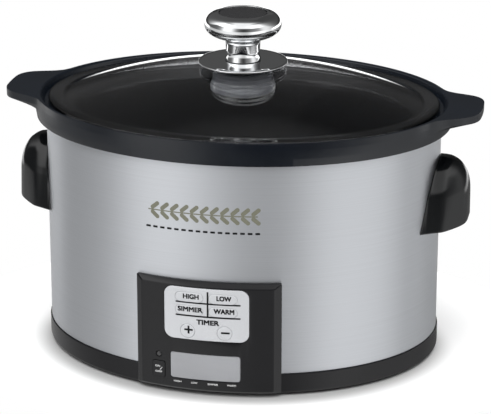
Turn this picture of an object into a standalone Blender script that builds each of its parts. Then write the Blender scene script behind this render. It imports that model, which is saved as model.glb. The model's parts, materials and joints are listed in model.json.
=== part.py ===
"""Oval programmable slow cooker, in metres, +Z up, standing on its feet at z = 0.

The long axis lies along X and the control panel faces -Y. The object is a steel-wrapped base with
its heating liner and electronics, a stoneware crock that hangs in the liner by its rim, and a
domed glass lid. Every sub-part is one named object.
"""
import math

import bmesh
import bpy
from mathutils import Matrix, Vector

# Driving dimensions ---------------------------------------------------------------------------
WRAP_A, WRAP_B = 0.150, 0.119      # half axes of the steel wrap's outer face
RIM_A, RIM_B, RIM_Z = 0.1575, 0.1222, 0.1780  # half axes of the crock rim's outer face, at its foot
RIM_LEAN = 0.16                    # how fast the rim narrows across Y as it rises
OVAL_SEGMENTS = 48
TURN_STEPS = 24
GAP = 0.0003                       # clearance between touching pieces

BASE_BOTTOM, BASE_TOP = 0.0020, 0.0170
WRAP_BOTTOM, WRAP_TOP, WRAP_SHEET = 0.0173, 0.1773, 0.0008
COVER_BOTTOM, COVER_TOP = 0.0029, 0.0043
LINER_FLOOR, LINER_SHEET = 0.0795, 0.0008
LEDGE_Z, CREST_Z = 0.1880, 0.1940  # where the lid rests, and the top of the crock's rim
CROCK_BOTTOM, CROCK_FLOOR = 0.0860, 0.0945
DOME_EDGE_Z, DOME_RISE, GLASS = 0.1926, 0.0252, 0.0040
DOME_A, DOME_B = 0.1370, 0.1010    # half axes of the lid's dome, inside its flat edge
FLANGE_TOP = 0.2220
KNOB_TOP = 0.2585
FOOT_AT = (0.078, 0.050)
COVER_SCREW_AT = (0.112, 0.062)
STUD_RADIUS = 0.0029
HANDLE_SCREW_Y, HANDLE_SCREW_Z = 0.0225, 0.1150
GLAND_Z = 0.040

PANEL_X, PANEL_HALF, PANEL_FACE_HALF = -0.0030, 0.0535, 0.0485
PANEL_BOTTOM, PANEL_TOP = 0.0022, 0.0886
FACE_BOTTOM, FACE_TOP = 0.0044, 0.0863
FACE_OUT, FACE_SHEET = 0.0050, 0.0022     # the panel's face stands this far off the wrap
CUTOUT_HALF, CUTOUT_TOP = 0.0452, 0.0849  # opening in the wrap behind the panel
KEYPAD = (PANEL_X, 0.0640, 0.0307, 0.0202, 0.0065)   # x, z, half width, half height, corner radius
SCREEN = (PANEL_X - 0.0010, 0.0224, 0.0255, 0.0101, 0.0020)
LED = (PANEL_X - 0.0353, 0.0292, 0.0021, 0.0021, 0.0021)
KEYS = {                                          # x, z, half width, half height, corner radius
    "key_high": (PANEL_X - 0.0122, 0.0768, 0.0102, 0.0036, 0.0036),
    "key_low": (PANEL_X + 0.0122, 0.0768, 0.0102, 0.0036, 0.0036),
    "key_simmer": (PANEL_X - 0.0122, 0.0667, 0.0102, 0.0036, 0.0036),
    "key_warm": (PANEL_X + 0.0122, 0.0667, 0.0102, 0.0036, 0.0036),
    "key_plus": (PANEL_X - 0.0134, 0.0506, 0.0053, 0.0053, 0.0053),
    "key_minus": (PANEL_X + 0.0134, 0.0506, 0.0053, 0.0053, 0.0053),
    "key_power": (PANEL_X - 0.0353, 0.0176, 0.0046, 0.0062, 0.0012),
}
PANEL_SCREW_X, PANEL_SCREW_Z = 0.0482, (0.0300, 0.0760)

COLOURS = {                                       # colour, roughness, metallic
    "steel": ((0.62, 0.63, 0.65), 0.32, 1.0),
    "chrome": ((0.86, 0.86, 0.87), 0.08, 1.0),
    "zinc": ((0.55, 0.56, 0.57), 0.45, 1.0),
    "black_plastic": ((0.022, 0.022, 0.024), 0.38, 0.0),
    "stoneware": ((0.016, 0.017, 0.019), 0.16, 0.0),
    "glass": ((0.80, 0.84, 0.84), 0.03, 0.0),
    "silver_pad": ((0.72, 0.73, 0.75), 0.42, 0.0),
    "rubber": ((0.03, 0.03, 0.03), 0.80, 0.0),
    "silicone": ((0.42, 0.44, 0.46), 0.30, 0.0),
    "screen": ((0.50, 0.51, 0.53), 0.20, 0.0),
    "board": ((0.03, 0.16, 0.07), 0.55, 0.0),
    "mica": ((0.55, 0.50, 0.40), 0.70, 0.0),
    "wool": ((0.78, 0.76, 0.70), 0.95, 0.0),
}


# Scene and materials --------------------------------------------------------------------------
for old in list(bpy.data.objects):
    bpy.data.objects.remove(old, do_unlink=True)
PARTS = bpy.data.collections.new("slow_cooker")
CUTTERS = bpy.data.collections.new("cutters")
for made in (PARTS, CUTTERS):
    bpy.context.scene.collection.children.link(made)


def material(name):
    found = bpy.data.materials.get(name)
    if found:
        return found
    colour, roughness, metallic = COLOURS[name]
    found = bpy.data.materials.new(name)
    found.use_nodes = True
    shader = found.node_tree.nodes["Principled BSDF"]
    shader.inputs["Base Color"].default_value = (*colour, 1.0)
    shader.inputs["Roughness"].default_value = roughness
    shader.inputs["Metallic"].default_value = metallic
    return found


def add(name, bm, finish, smooth=True):
    """A new part from a bmesh, or a hidden cutter when finish is None."""
    mesh = bpy.data.meshes.new(name)
    bmesh.ops.recalc_face_normals(bm, faces=bm.faces)
    bm.to_mesh(mesh)
    bm.free()
    obj = bpy.data.objects.new(name, mesh)
    if finish is None:
        CUTTERS.objects.link(obj)
        obj.hide_render = True
        obj.display_type = "WIRE"
    else:
        PARTS.objects.link(obj)
        mesh.materials.append(material(finish))
        if smooth:
            mesh.shade_smooth()
            mesh.set_sharp_from_angle(angle=math.radians(35))
    return obj


def boolean(obj, other, operation):
    other.hide_render = True
    other.display_type = "WIRE"
    modifier = obj.modifiers.new(f"{operation.lower()}_{other.name}", "BOOLEAN")
    modifier.operation = operation
    modifier.object = other
    return obj


def cut(obj, *cutters):
    for cutter in cutters:
        boolean(obj, cutter, "DIFFERENCE")
    return obj


def join(obj, *others):
    for other in others:
        boolean(obj, other, "UNION")
    return obj


# Shapes ---------------------------------------------------------------------------------------
def wrap_oval(offset, z):
    """An oval this far outside the steel wrap's outer face (inside, if negative)."""
    return (WRAP_A + offset, WRAP_B + offset, z)


def rim_oval(offset, z):
    """An oval this far outside the crock rim's outer face (inside, if negative)."""
    return (RIM_A + offset, RIM_B + offset - RIM_LEAN * (z - RIM_Z), z)


def loft(bm, rings, closed):
    """Skins rings of equal point counts. A closed loft joins its last ring to its first one."""
    rows = [[bm.verts.new(point) for point in ring] for ring in rings]
    pairs = list(zip(rows, rows[1:]))
    if closed:
        pairs.append((rows[-1], rows[0]))
    else:
        bm.faces.new(rows[0])
        bm.faces.new(rows[-1])
    for lower, upper in pairs:
        for i in range(len(lower)):
            j = (i + 1) % len(lower)
            bm.faces.new((lower[i], lower[j], upper[j], upper[i]))


def oval_ring(a, b, z):
    turn = 2 * math.pi / OVAL_SEGMENTS
    return [(a * math.cos(i * turn), b * math.sin(i * turn), z) for i in range(OVAL_SEGMENTS)]


def oval_loft(name, rows, finish, closed=False):
    """A body whose level sections are the ovals (half length, half width, z) in rows."""
    bm = bmesh.new()
    loft(bm, [oval_ring(*row) for row in rows], closed)
    return add(name, bm, finish)


def oval_band(name, outer, inner, bottom, top, finish):
    """A plain upright oval tube between two offsets from the wrap."""
    rows = [(outer, bottom), (outer, top), (inner, top), (inner, bottom)]
    return oval_loft(name, [wrap_oval(*row) for row in rows], finish, closed=True)


def turned(name, profile, finish, ring=False, steps=TURN_STEPS):
    """A profile of (radius, z) turned about Z. It runs down the outer side, and a ring's is a loop."""
    bm = bmesh.new()
    points = [bm.verts.new((radius, 0, z)) for radius, z in profile]
    for first, second in zip(points, points[1:]):
        bm.edges.new((first, second))
    if ring:
        bm.edges.new((points[-1], points[0]))
    mesh = bpy.data.meshes.new(name)
    bm.to_mesh(mesh)
    bm.free()
    obj = bpy.data.objects.new(name, mesh)
    PARTS.objects.link(obj)
    mesh.materials.append(material(finish))
    screw = obj.modifiers.new("turn", "SCREW")
    screw.steps = screw.render_steps = steps
    screw.use_merge_vertices = True
    screw.merge_threshold = 0.00001
    screw.use_smooth_shade = True
    return obj


def cylinder(name, radius, start, end, finish, sides=16):
    """A capped cylinder between two points."""
    start, end = Vector(start), Vector(end)
    axis = end - start
    bm = bmesh.new()
    bmesh.ops.create_cone(
        bm, cap_ends=True, segments=sides, radius1=radius, radius2=radius, depth=axis.length
    )
    turn = axis.to_track_quat("Z", "Y").to_matrix().to_4x4()
    bmesh.ops.transform(bm, matrix=Matrix.Translation((start + end) / 2) @ turn, verts=bm.verts)
    return add(name, bm, finish)


def box(name, low, high, finish, bevel=0.0):
    bm = bmesh.new()
    bmesh.ops.create_cube(bm, size=1.0)
    low, high = Vector(low), Vector(high)
    bmesh.ops.scale(bm, vec=high - low, verts=bm.verts)
    bmesh.ops.translate(bm, vec=(low + high) / 2, verts=bm.verts)
    obj = add(name, bm, finish, smooth=False)
    if bevel:
        rounding = obj.modifiers.new("rounding", "BEVEL")
        rounding.width = bevel
        rounding.segments = 2
    return obj


def panel_box(name, half_width, low, high, finish, bevel=0.0):
    """A box centred on the panel, from (y, z) low to (y, z) high."""
    left, right = PANEL_X - half_width, PANEL_X + half_width
    return box(name, (left, *low), (right, *high), finish, bevel)


def rounded_rectangle(x, z, half_width, half_height, radius, depth, corner_points=3):
    """The outline at one depth in front of the wrap, in the flat space that the panel is drawn in."""
    ring = []
    for quarter in range(4):
        sign_x = 1 if quarter in (0, 3) else -1
        sign_z = 1 if quarter in (0, 1) else -1
        for step in range(corner_points):
            angle = math.pi / 2 * (quarter + step / (corner_points - 1))
            ring.append((
                x + sign_x * (half_width - radius) + radius * math.cos(angle),
                -depth,
                z + sign_z * (half_height - radius) + radius * math.sin(angle),
            ))
    return ring


def flat_stack(name, shape, layers, finish):
    """A stack of rounded rectangles. A layer is (depth in front of the wrap, growth of the outline)."""
    x, z, half_width, half_height, radius = shape
    rings = [
        rounded_rectangle(
            x, z, half_width + grow, half_height + grow, max(radius + grow, 0.0002), depth)
        for depth, grow in layers
    ]
    bm = bmesh.new()
    loft(bm, rings, closed=False)
    return add(name, bm, finish)


def bent(obj, step=0.0110, rear=False):
    """Bends a flat piece round the wrap: its depth becomes the distance out from the wrap's face."""
    bpy.context.view_layer.update()
    graph = bpy.context.evaluated_depsgraph_get()
    bm = bmesh.new()
    bm.from_mesh(obj.evaluated_get(graph).to_mesh())
    obj.modifiers.clear()
    bmesh.ops.triangulate(bm, faces=bm.faces)
    widest = max(abs(v.co.x) for v in bm.verts)
    for i in range(-int(widest / step), int(widest / step) + 1):
        everything = list(bm.verts) + list(bm.edges) + list(bm.faces)
        bmesh.ops.bisect_plane(
            bm, geom=everything, dist=1e-6, plane_co=(i * step, 0, 0), plane_no=(1, 0, 0)
        )
    for vert in bm.verts:
        vert.co = on_wrap(vert.co.x, vert.co.z, -vert.co.y, rear)
    bmesh.ops.recalc_face_normals(bm, faces=bm.faces)
    if bm.calc_volume(signed=True) < 0:
        bmesh.ops.reverse_faces(bm, faces=bm.faces)
    bm.to_mesh(obj.data)
    bm.free()
    obj.data.shade_smooth()
    obj.data.set_sharp_from_angle(angle=math.radians(35))
    return obj


def wrap_normal(x, y):
    return Vector((x / WRAP_A**2, y / WRAP_B**2, 0)).normalized()


def on_wrap(x, z, out, rear=False):
    """The point this far out from the wrap's front face at x, or from its rear face."""
    y = WRAP_B * math.sqrt(1 - (x / WRAP_A) ** 2) * (1 if rear else -1)
    return Vector((x, y, z)) + wrap_normal(x, y) * out


def sections(name, rows, finish, exponent, whole):
    """Skins sections across X, each (x, half width, bottom, top): a rounded box, or an arch on a foot."""
    count = 18
    rings = []
    for x, half_width, bottom, top in rows:
        ring = []
        for i in range(count):
            angle = 2 * math.pi * i / count if whole else math.pi * i / (count - 1)
            c, s = math.cos(angle), math.sin(angle)
            y = half_width * math.copysign(abs(c) ** (2 / exponent), c)
            rise = math.copysign(abs(s) ** (2 / exponent), s)
            if whole:
                z = (top + bottom) / 2 + (top - bottom) / 2 * rise
            else:
                z = bottom + (top - bottom) * abs(rise)
            ring.append((x, y, z))
        rings.append(ring)
    bm = bmesh.new()
    loft(bm, rings, closed=False)
    return add(name, bm, finish)


def screw_part(name, head_at, direction, head_radius, head_height, shank_radius, length, finish="zinc"):
    """A round-headed screw. Its shank leaves the head's seat along direction."""
    profile = [
        (0, -length), (shank_radius, -length + shank_radius), (shank_radius, 0), (head_radius, 0),
        (head_radius * 0.7, head_height), (0, head_height),
    ]
    obj = turned(name, list(reversed(profile)), finish, steps=10)
    obj.rotation_euler = (-Vector(direction)).to_track_quat("Z", "Y").to_euler()
    obj.location = head_at
    return obj


# The base's shell -----------------------------------------------------------------------------
def outer_wrap():
    wrap = oval_band("outer_wrap", 0, -WRAP_SHEET, WRAP_BOTTOM, WRAP_TOP, "steel")
    window = panel_box("cut_window", CUTOUT_HALF, (-0.14, 0), (-0.09, CUTOUT_TOP), None)
    cut(wrap, window)
    for name, point, normal in handle_screw_places() + panel_screw_places():
        inner, outer = point - normal * 0.006, point + normal * 0.006
        cut(wrap, cylinder(f"cut_{name}", 0.0018, inner, outer, None, 12))
    cut(wrap, cylinder("cut_gland", 0.0070, (0, 0.110, GLAND_Z), (0, 0.130, GLAND_Z), None, 24))


def base_ring():
    """The moulded foot ring. The wrap stands on its step, round the low wall inside."""
    rows = [
        (0.0004, BASE_BOTTOM), (0.0010, BASE_BOTTOM + 0.0010), (0.0010, BASE_TOP),
        (-0.0012, BASE_TOP), (-0.0012, 0.0240), (-0.0032, 0.0240), (-0.0032, 0.0075),
        (-0.0300, 0.0075), (-0.0300, 0.0046), (-0.0052, 0.0046), (-0.0052, BASE_BOTTOM),
    ]
    ring = oval_loft("base_ring", [wrap_oval(*row) for row in rows], "black_plastic", closed=True)
    cut(ring, panel_box("cut_panel_bay", CUTOUT_HALF, (-0.14, 0.0085), (-0.107, 0.040), None))
    for name, x, y in corners("cut_ring", COVER_SCREW_AT):
        cut(ring, cylinder(name, 0.0018, (x, y, 0.003), (x, y, 0.010), None, 12))


def bottom_cover():
    """The plate under the base: vent slots, four board posts, and holes for feet, screws and stud."""
    rows = [wrap_oval(-0.0056, COVER_BOTTOM), wrap_oval(-0.0056, COVER_TOP)]
    cover = oval_loft("bottom_cover", rows, "black_plastic")
    for x in (0.030, 0.090):
        for y in (-0.026, 0.026):
            join(cover, cylinder(f"post_{x}_{y}", 0.0032, (x, y, 0.0036), (x, y, 0.0197), None, 10))
    for i in range(7):
        x = -0.086 + 0.009 * i
        cut(cover, box(f"cut_vent_{i}", (x, -0.020, 0), (x + 0.0030, 0.020, 0.010), None))
    for name, x, y in corners("cut_foot", FOOT_AT):
        cut(cover, cylinder(name, 0.0030, (x, y, 0), (x, y, 0.010), None, 12))
    for name, x, y in corners("cut_cover", COVER_SCREW_AT):
        cut(cover, cylinder(name, 0.0018, (x, y, 0), (x, y, 0.010), None, 12))
    cut(cover, cylinder("cut_stud", STUD_RADIUS + 0.0005, (0, 0, 0), (0, 0, 0.010), None, 16))


def corners(prefix, at):
    """(name, x, y) at the four corners of a rectangle about the centre."""
    return [
        (f"{prefix}_{row}_{side}", sx * at[0], sy * at[1])
        for sy, row in ((-1, "front"), (1, "rear"))
        for sx, side in ((-1, "left"), (1, "right"))
    ]


def feet_and_cover_screws():
    for name, x, y in corners("foot", FOOT_AT):
        profile = [
            (0, 0.0062), (0.0034, 0.0046), (0.0027, 0.0046), (0.0027, 0.0026), (0.0080, 0.0026),
            (0.0080, 0), (0, 0),
        ]
        foot = turned(name, profile, "rubber", steps=14)
        foot.location = (x, y, 0)
    for name, x, y in corners("cover_screw", COVER_SCREW_AT):
        screw_part(name, (x, y, COVER_BOTTOM - GAP), (0, 0, 1), 0.0032, 0.0016, 0.0014, 0.0062)


def top_trim():
    """The black ring that caps the wrap's top edge."""
    rows = [
        (-0.0002, 0.1776), (-0.0002, 0.1796), (-0.0090, 0.1796), (-0.0090, 0.1781),
        (-0.0032, 0.1781), (-0.0032, 0.1715), (-0.0012, 0.1715), (-0.0012, 0.1776),
    ]
    oval_loft("top_trim", [wrap_oval(*row) for row in rows], "black_plastic", closed=True)


# Heating --------------------------------------------------------------------------------------
def liner():
    """The sheet pot that the crock hangs in, with a flange that lies on the top trim."""
    floor, sheet = LINER_FLOOR, LINER_SHEET
    wall, inner = -0.0100, -0.0108
    rows = [
        (-0.0200, floor), (-0.0125, floor + 0.0012), (wall, floor + 0.0050), (wall, 0.1799),
        (-0.0045, 0.1799), (-0.0045, 0.1799 + sheet), (inner, 0.1799 + sheet),
        (inner, floor + 0.0053), (-0.0130, floor + 0.0019), (-0.0202, floor + sheet),
    ]
    oval_loft("liner", [wrap_oval(*row) for row in rows], "zinc")


def heating():
    band = oval_band("heater_band", -0.0084, -0.0096, 0.0980, 0.1500, "mica")
    cut(band, box("cut_band_gap", (-0.004, 0.100, 0.090), (0.004, 0.120, 0.160), None))
    shape = (0, 0.1240, 0.0120, 0.0080, 0.0010)
    buckle = flat_stack("band_buckle", shape, [(-0.0080, 0), (-0.0068, 0)], "zinc")
    bent(buckle, rear=True)
    oval_band("insulation", -0.0034, -0.0062, 0.0950, 0.1690, "wool")
    shield = oval_loft("heat_shield", [wrap_oval(-0.0220, 0.0560), wrap_oval(-0.0220, 0.0568)], "zinc")
    cut(shield, cylinder("cut_shield", STUD_RADIUS + 0.0005, (0, 0, 0.050), (0, 0, 0.060), None, 16))
    stud = [
        (0, LINER_FLOOR - GAP), (0.0120, LINER_FLOOR - GAP), (0.0120, LINER_FLOOR - 0.0020),
        (STUD_RADIUS, LINER_FLOOR - 0.0020), (STUD_RADIUS, 0.0557), (0.0060, 0.0557),
        (0.0060, 0.0520), (STUD_RADIUS, 0.0520), (STUD_RADIUS, 0.0010), (0.0024, 0.0005), (0, 0.0005),
    ]
    turned("center_stud", stud, "zinc", steps=16)
    nut = cylinder("center_nut", 0.0058, (0, 0, 0.0006), (0, 0, 0.0026), "zinc", 6)
    cut(nut, cylinder("cut_nut", STUD_RADIUS + GAP, (0, 0, -0.002), (0, 0, 0.005), None, 16))
    sensor = [
        (0, LINER_FLOOR - GAP), (0.0048, LINER_FLOOR - GAP), (0.0048, 0.0750), (0.0030, 0.0735),
        (0.0030, 0.0700), (0, 0.0700),
    ]
    turned("temperature_sensor", sensor, "zinc", steps=16).location.x = 0.040
    cylinder("thermal_fuse", 0.0022, (-0.047, 0, 0.0766), (-0.033, 0, 0.0766), "zinc", 12)


def boards():
    """The power board on its posts, with its transformer and relay, and the display board in front."""
    box("power_board", (0.022, -0.034, 0.0200), (0.098, 0.034, 0.0216), "board")
    box("transformer", (0.030, -0.028, 0.0219), (0.058, -0.002, 0.0440), "mica", 0.0008)
    box("relay", (0.066, 0.006, 0.0219), (0.086, 0.022, 0.0385), "black_plastic", 0.0006)
    panel_box("display_board", 0.0400, (-0.1126, 0.0090), (-0.1110, 0.0770), "board")
    panel_box("lcd_module", 0.0270, (-0.1176, 0.0105), (-0.1129, 0.0345), "screen", 0.0005)
    route = [(0.010, -0.1095, 0.016), (0.010, -0.1040, 0.016), (0.012, -0.0900, 0.0180),
             (0.020, -0.0680, 0.0240), (0.032, -0.0500, 0.0290), (0.040, -0.0400, 0.0290),
             (0.046, -0.0340, 0.0270), (0.048, -0.0312, 0.0250), (0.048, -0.0300, 0.0233)]
    harness = bpy.data.curves.new("wire_harness", "CURVE")
    harness.dimensions = "3D"
    harness.bevel_depth = 0.0012
    harness.bevel_resolution = 1
    harness.use_fill_caps = True
    spline = harness.splines.new("POLY")
    spline.points.add(len(route) - 1)
    for point, place in zip(spline.points, route):
        point.co = (*place, 1)
    harness.materials.append(material("black_plastic"))
    PARTS.objects.link(bpy.data.objects.new("wire_harness", harness))


# Handles, panel and gland ---------------------------------------------------------------------
def handle_screw_places():
    """(name, point on the wrap, outward normal) of the four handle screws."""
    places = []
    for side, sx in (("left", -1), ("right", 1)):
        for end, sy in (("front", -1), ("rear", 1)):
            x = sx * WRAP_A * math.sqrt(1 - (HANDLE_SCREW_Y / WRAP_B) ** 2)
            y = sy * HANDLE_SCREW_Y
            point = Vector((x, y, HANDLE_SCREW_Z))
            places.append((f"handle_screw_{side}_{end}", point, wrap_normal(x, y)))
    return places


def handles():
    """Moulded side grips: an arch on the wrap that draws in to a smaller upright face, hollow below."""
    body = [(0.1380, 0.0430, 0.1055, 0.1560), (0.1500, 0.0375, 0.1055, 0.1556),
            (0.1590, 0.0330, 0.1058, 0.1536), (0.1656, 0.0280, 0.1064, 0.1500),
            (0.1702, 0.0230, 0.1078, 0.1436), (0.1727, 0.0175, 0.1110, 0.1345)]
    hollow = [(0.1530, 0.0235, 0.0950, 0.1360), (0.1590, 0.0225, 0.0950, 0.1350),
              (0.1640, 0.0190, 0.0950, 0.1305), (0.1672, 0.0140, 0.0950, 0.1240)]
    plug = oval_loft("cut_handle_back", [wrap_oval(0.0004, 0.05), wrap_oval(0.0004, 0.17)], None)
    for side, sx in (("left", -1), ("right", 1)):
        outside = [(sx * x, *size) for x, *size in body]
        inside = [(sx * x, *size) for x, *size in hollow]
        handle = sections(f"{side}_handle", outside, "black_plastic", 2.15, False)
        grip = sections(f"cut_grip_{side}", inside, None, 2.6, False)
        cut(handle, plug, grip)
        for name, point, normal in handle_screw_places():
            if side in name:
                end = point + normal * 0.0085
                cut(handle, cylinder(f"cut_{name}_{side}", 0.0017, point, end, None, 12))
    for name, point, normal in handle_screw_places():
        seat = point - normal * (WRAP_SHEET + 0.0005)
        screw_part(name, seat, normal, 0.0032, 0.0016, 0.0013, 0.0085)


def panel_screw_places():
    """(name, point on the wrap, outward normal) of the four screws that hold the panel."""
    places = []
    for side, sx in (("left", -1), ("right", 1)):
        for row, z in zip(("low", "high"), PANEL_SCREW_Z):
            point = on_wrap(PANEL_X + sx * PANEL_SCREW_X, z, 0)
            places.append((f"panel_screw_{side}_{row}", point, wrap_normal(point.x, point.y)))
    return places


def panel_bezel():
    """The black panel housing, drawn flat and then bent round the wrap."""
    bm = bmesh.new()
    layers = [
        (0.0004, PANEL_HALF, PANEL_BOTTOM, PANEL_TOP), (0.0010, PANEL_HALF, PANEL_BOTTOM, PANEL_TOP),
        (FACE_OUT - 0.0007, PANEL_FACE_HALF + 0.0006, FACE_BOTTOM - 0.0003, FACE_TOP + 0.0003),
        (FACE_OUT, PANEL_FACE_HALF - 0.0002, FACE_BOTTOM + 0.0005, FACE_TOP - 0.0005),
    ]
    rings = [
        rounded_rectangle(PANEL_X, (low + high) / 2, half, (high - low) / 2, 0.0012, depth, 3)
        for depth, half, low, high in layers
    ]
    loft(bm, rings, closed=False)
    bezel = add("panel_bezel", bm, "black_plastic")
    hollow_top, hollow_bottom = 0.0845, 0.0070
    cutters = [
        panel_box(
            "cut_hollow", 0.0448, (FACE_SHEET - FACE_OUT, hollow_bottom), (0.002, hollow_top), None),
        panel_box("cut_ring_step", 0.06, (-0.0015, 0), (0.002, BASE_TOP + 0.0006), None),
        flat_stack("cut_keypad_pocket", KEYPAD, [(FACE_OUT - 0.0014, GAP), (0.009, GAP)], None),
        flat_stack("cut_keypad_window", KEYPAD, [(0.001, -0.0010), (0.009, -0.0010)], None),
        flat_stack("cut_screen", SCREEN, [(0.001, GAP), (0.009, GAP)], None),
        flat_stack("cut_led", LED, [(0.001, GAP), (0.009, GAP)], None),
        flat_stack("cut_power_key", KEYS["key_power"], [(0.001, GAP), (0.009, GAP)], None),
    ]
    cut(bezel, *cutters)
    for sx in (-1, 1):
        for z in PANEL_SCREW_Z:
            x = PANEL_X + sx * PANEL_SCREW_X
            cut(bezel, cylinder(f"cut_boss_{sx}_{z}", 0.0015, (x, 0.002, z), (x, -0.0031, z), None, 10))
    bent(bezel)


def panel_faces():
    """The silver key plate, the seven keys, the screen window and the lamp lens."""
    layers = [(FACE_OUT - 0.0011, 0), (FACE_OUT + 0.0001, 0), (FACE_OUT + 0.0003, -0.0003)]
    plate = flat_stack("keypad_plate", KEYPAD, layers, "silver_pad")
    for name, shape in KEYS.items():
        if name != "key_power":
            cut(plate, flat_stack(f"cut_{name}", shape, [(0.001, GAP), (0.009, GAP)], None))
    bent(plate)
    for name, shape in KEYS.items():
        front = FACE_OUT + 0.0007
        layers = [(0.0014, 0.0008), (0.0024, 0.0008), (0.0024, 0), (front - 0.0003, 0), (front, -0.0003)]
        finish = "black_plastic" if name == "key_power" else "silver_pad"
        bent(flat_stack(name, shape, layers, finish))
    bent(flat_stack("lcd_window", SCREEN, [(0.0030, 0), (FACE_OUT - 0.0002, 0)], "screen"))
    layers = [(0.0024, 0), (FACE_OUT, 0), (FACE_OUT + 0.0003, -0.0004)]
    bent(flat_stack("led_lens", LED, layers, "screen"))
    for name, point, normal in panel_screw_places():
        screw_part(name, point - normal * (WRAP_SHEET + 0.0005), normal, 0.0028, 0.0014, 0.0011, 0.0040)


def cord_gland():
    """The rear bushing that the cord leaves through. Its axis runs along Y."""
    rear = WRAP_B + 0.0056
    profile = [
        (0.0038, rear), (0.0062, rear), (0.0088, WRAP_B + 0.0028), (0.0094, WRAP_B + 0.0005),
        (0.0066, WRAP_B + 0.0005), (0.0066, WRAP_B - 0.0014), (0.0086, WRAP_B - 0.0016),
        (0.0086, WRAP_B - 0.0045), (0.0038, WRAP_B - 0.0045),
    ]
    gland = turned("cord_gland", profile, "rubber", ring=True, steps=20)
    gland.rotation_euler.x = -math.pi / 2
    gland.location.z = GLAND_Z


# Crock and lid --------------------------------------------------------------------------------
def crock():
    """The stoneware pot: a solid of its outer shape with two lugs, hollowed by the cavity."""
    outer = [
        wrap_oval(-0.0450, CROCK_BOTTOM), wrap_oval(-0.0340, CROCK_BOTTOM + 0.0006),
        wrap_oval(-0.0270, CROCK_BOTTOM + 0.0040), wrap_oval(-0.0235, CROCK_BOTTOM + 0.0120),
        wrap_oval(-0.0145, 0.1740), wrap_oval(-0.0140, 0.1812), rim_oval(-0.0027, 0.1812),
        rim_oval(-0.0027, RIM_Z - 0.0002), rim_oval(-0.0008, RIM_Z - 0.0002), rim_oval(0, RIM_Z + 0.0008),
        rim_oval(0, CREST_Z - 0.0018), rim_oval(-0.0012, CREST_Z),
    ]
    pot = oval_loft("crock", outer, "stoneware")
    lug = [(0.1490, 0.0390, 0.1830, 0.1948), (0.1570, 0.0352, 0.1836, 0.1950),
           (0.1650, 0.0318, 0.1862, 0.1950), (0.1720, 0.0288, 0.1880, 0.1949),
           (0.1768, 0.0245, 0.1892, 0.1946), (0.1802, 0.0185, 0.1902, 0.1940),
           (0.1815, 0.0130, 0.1912, 0.1932)]
    for side, sx in (("left", -1), ("right", 1)):
        join(pot, sections(f"lug_{side}", [(sx * row[0], *row[1:]) for row in lug], None, 5.0, True))
    cavity = [
        wrap_oval(-0.0430, CROCK_FLOOR), wrap_oval(-0.0350, CROCK_FLOOR + 0.0030),
        wrap_oval(-0.0325, CROCK_FLOOR + 0.0100), wrap_oval(-0.0215, 0.1805),
        rim_oval(-0.0145, LEDGE_Z), rim_oval(-0.0056, LEDGE_Z), rim_oval(-0.0036, CREST_Z - 0.0008),
        rim_oval(-0.0026, CREST_Z + 0.0004), rim_oval(-0.0026, 0.2000),
    ]
    cut(pot, oval_loft("cut_cavity", cavity, None))


def dome(share, lift):
    """An oval on the dome, at this share of the way from its top to its edge."""
    return (DOME_A * share, DOME_B * share, DOME_EDGE_Z + DOME_RISE * (1 - share**2) + lift)


def lid_glass():
    hole = 0.0046
    shares = (0.33, 0.60, 0.82, 1.0)
    apex = DOME_EDGE_Z + DOME_RISE
    upper = [(hole, hole, apex - 0.0001)] + [dome(share, 0) for share in shares]
    edge = [
        rim_oval(-0.0100, DOME_EDGE_Z - 0.0003), rim_oval(-0.0088, DOME_EDGE_Z - 0.0014),
        rim_oval(-0.0088, LEDGE_Z + 0.0004),
    ]
    lower = [dome(share, LEDGE_Z + 0.0005 - DOME_EDGE_Z) for share in reversed(shares)]
    lower.append((hole, hole, apex - GLASS))
    oval_loft("lid_glass", upper + edge + lower, "glass", closed=True)


def knob():
    """The chrome knob and its flange, and what holds them to the glass."""
    apex = DOME_EDGE_Z + DOME_RISE
    seat = FLANGE_TOP + GAP
    profile = [
        (0, KNOB_TOP - 0.0020), (0.0183, KNOB_TOP - 0.0020), (0.0183, KNOB_TOP - 0.0005),
        (0.0192, KNOB_TOP), (0.0232, 0.2572), (0.0270, 0.2536), (0.0284, 0.2488), (0.0272, 0.2446),
        (0.0236, 0.2414), (0.0176, 0.2394), (0.0138, 0.2374), (0.0123, 0.2335), (0.0122, 0.2275),
        (0.0134, 0.2243), (0.0155, seat),
        (0.0026, seat), (0.0026, 0.2400), (0, 0.2400),
    ]
    turned("knob", profile, "chrome")
    cap = [
        (0, KNOB_TOP - 0.0001), (0.0176, KNOB_TOP - 0.0004), (0.0179, KNOB_TOP - 0.0008),
        (0.0179, KNOB_TOP - 0.0017), (0, KNOB_TOP - 0.0017),
    ]
    turned("knob_cap", cap, "black_plastic")
    flange = [
        (0.0029, FLANGE_TOP), (0.0325, FLANGE_TOP - 0.0002), (0.0339, FLANGE_TOP - 0.0012),
        (0.0334, FLANGE_TOP - 0.0022), (0.0029, FLANGE_TOP - 0.0022),
    ]
    turned("knob_flange", flange, "chrome", ring=True)
    top, bottom = FLANGE_TOP - 0.0022 - GAP, apex + GAP
    gasket = [(0.0046, top), (0.0140, top), (0.0140, bottom), (0.0046, bottom)]
    turned("knob_gasket", gasket, "rubber", ring=True)
    under = apex - GLASS
    retainer = [
        (0.0029, under - 0.0024), (0.0220, under - 0.0024), (0.0220, 0.2030), (0.0247, 0.2022),
        (0.0247, 0.1978), (0.0205, 0.1978), (0.0198, 0.2090), (0.0029, 0.2090),
    ]
    turned("knob_retainer", retainer, "silicone", ring=True)
    screw = [
        (0, 0.2380), (0.0014, 0.2380), (0.0023, 0.2371), (0.0023, 0.2087), (0.0050, 0.2087),
        (0.0050, 0.2068), (0.0036, 0.2058), (0, 0.2058),
    ]
    turned("knob_screw", screw, "zinc", steps=16)


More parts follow.
